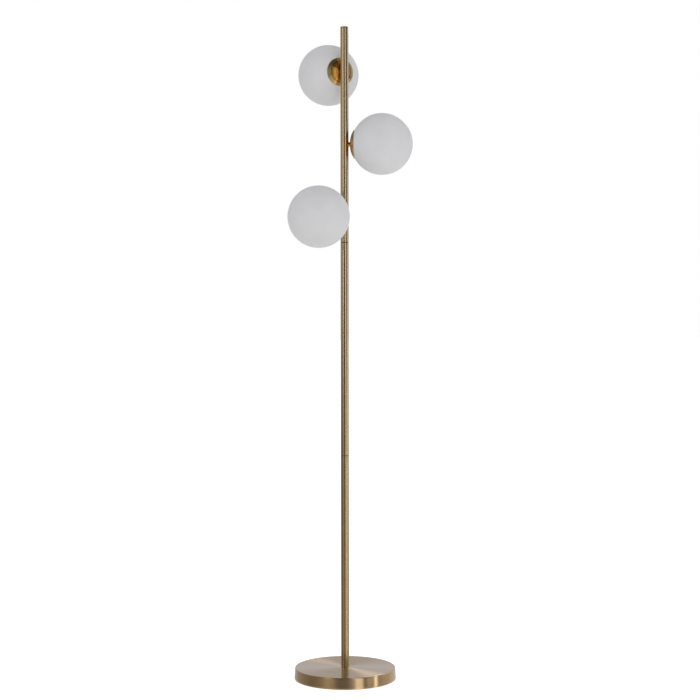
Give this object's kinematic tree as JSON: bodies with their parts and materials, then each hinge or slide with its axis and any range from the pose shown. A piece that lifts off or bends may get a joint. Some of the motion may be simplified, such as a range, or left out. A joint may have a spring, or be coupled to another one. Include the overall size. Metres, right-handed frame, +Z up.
{
  "type": "globe floor lamp",
  "caption": "Free-standing floor lamp: weighted round base, slim jointed pole and screw-on opal globe shades on short arms at staggered heights and bearings.",
  "frame": {"origin": "on the pole's axis at the floor, in the underside of the base pad", "axes": "+Z up the pole; +X from the pole towards the middle globe; +Y to the rear, where the cord inlet is"},
  "size_m": [0.296, 0.3027, 1.6],
  "materials": {
    "satin_brass": "satin, lengthwise and concentric brushing",
    "dish_brass": "polished dome, brushed band",
    "opal_glass": "matt opal white",
    "cast_iron": "rough cast, painted",
    "zinc_steel": "bright zinc plated",
    "foam_pad": "matt black anti-slip pad",
    "black_rubber": "matt",
    "white_nylon": "moulded",
    "clear_silicone": "translucent soft ring",
    "ceramic": "glazed steatite",
    "bulb_envelope": "frosted",
    "pin_nickel": "nickel plated wire",
    "lead_sheath": "white flexible sheath"
  },
  "bodies": {
    "root": {"base_cover": "satin_brass", "base_weight": "cast_iron", "base_pad": "foam_pad", "base_stud": "zinc_steel", "base_nut": "zinc_steel", "base_washer": "zinc_steel", "base_lock_washer": "zinc_steel", "cord_inlet_bush": "black_rubber", "terminal_block": "white_nylon", "terminal_screws": "zinc_steel", "terminal_block_screw": "zinc_steel", "pole_lower": "satin_brass", "pole_middle": "satin_brass", "pole_upper": "satin_brass", "pole_cap": "satin_brass", "foot_insert": "zinc_steel", "joint_sockets": "satin_brass", "joint_studs": "satin_brass", "arm_nuts": "zinc_steel", "arm_lock_washers": "zinc_steel", "lampholder_screws": "zinc_steel", "top_arm": "satin_brass", "top_dish": "dish_brass", "top_gallery": "zinc_steel", "top_lampholder_bracket": "zinc_steel", "top_lampholder": "ceramic", "top_lead": "lead_sheath", "middle_arm": "satin_brass", "middle_dish": "dish_brass", "middle_gallery": "zinc_steel", "middle_lampholder_bracket": "zinc_steel", "middle_lampholder": "ceramic", "middle_lead": "lead_sheath", "low_arm": "satin_brass", "low_dish": "dish_brass", "low_gallery": "zinc_steel", "low_lampholder_bracket": "zinc_steel", "low_lampholder": "ceramic", "low_lead": "lead_sheath"},
    "top_gasket_ring": {"top_gasket": "clear_silicone"},
    "top_shade": {"top_globe": "opal_glass", "top_globe_collar": "white_nylon"},
    "top_bulb": {"top_bulb_base": "white_nylon", "top_bulb_envelope": "bulb_envelope", "top_bulb_pins": "pin_nickel"},
    "middle_gasket_ring": {"middle_gasket": "clear_silicone"},
    "middle_shade": {"middle_globe": "opal_glass", "middle_globe_collar": "white_nylon"},
    "middle_bulb": {"middle_bulb_base": "white_nylon", "middle_bulb_envelope": "bulb_envelope", "middle_bulb_pins": "pin_nickel"},
    "low_gasket_ring": {"low_gasket": "clear_silicone"},
    "low_shade": {"low_globe": "opal_glass", "low_globe_collar": "white_nylon"},
    "low_bulb": {"low_bulb_base": "white_nylon", "low_bulb_envelope": "bulb_envelope", "low_bulb_pins": "pin_nickel"}
  },
  "joints": [
    {"name": "top_globe_turn", "type": "hinge", "parent": "root", "child": "top_gasket_ring", "pos_m": [0, 0, 1.4935], "axis": [-0.5358, 0.8443, 0], "range_deg": [0, 630]},
    {"name": "top_globe_travel", "type": "slide", "parent": "top_gasket_ring", "child": "top_shade", "axis": [-0.5358, 0.8443, 0], "range_m": [0, 0.007]},
    {"name": "top_bulb_pull", "type": "slide", "parent": "root", "child": "top_bulb", "axis": [-0.5358, 0.8443, 0], "range_m": [0, 0.014]},
    {"name": "middle_globe_turn", "type": "hinge", "parent": "root", "child": "middle_gasket_ring", "pos_m": [0, 0, 1.3135], "axis": [1, 0, 0], "range_deg": [0, 630]},
    {"name": "middle_globe_travel", "type": "slide", "parent": "middle_gasket_ring", "child": "middle_shade", "axis": [1, 0, 0], "range_m": [0, 0.007]},
    {"name": "middle_bulb_pull", "type": "slide", "parent": "root", "child": "middle_bulb", "axis": [1, 0, 0], "range_m": [0, 0.014]},
    {"name": "low_globe_turn", "type": "hinge", "parent": "root", "child": "low_gasket_ring", "pos_m": [0, 0, 1.1335], "axis": [-0.5835, -0.8121, 0], "range_deg": [0, 630]},
    {"name": "low_globe_travel", "type": "slide", "parent": "low_gasket_ring", "child": "low_shade", "axis": [-0.5835, -0.8121, 0], "range_m": [0, 0.007]},
    {"name": "low_bulb_pull", "type": "slide", "parent": "root", "child": "low_bulb", "axis": [-0.5835, -0.8121, 0], "range_m": [0, 0.014]}
  ],
  "couplings": [
    {"joint": "top_globe_travel", "follows": "top_globe_turn", "m_per_rad": 0.00063662},
    {"joint": "middle_globe_travel", "follows": "middle_globe_turn", "m_per_rad": 0.00063662},
    {"joint": "low_globe_travel", "follows": "low_globe_turn", "m_per_rad": 0.00063662}
  ]
}
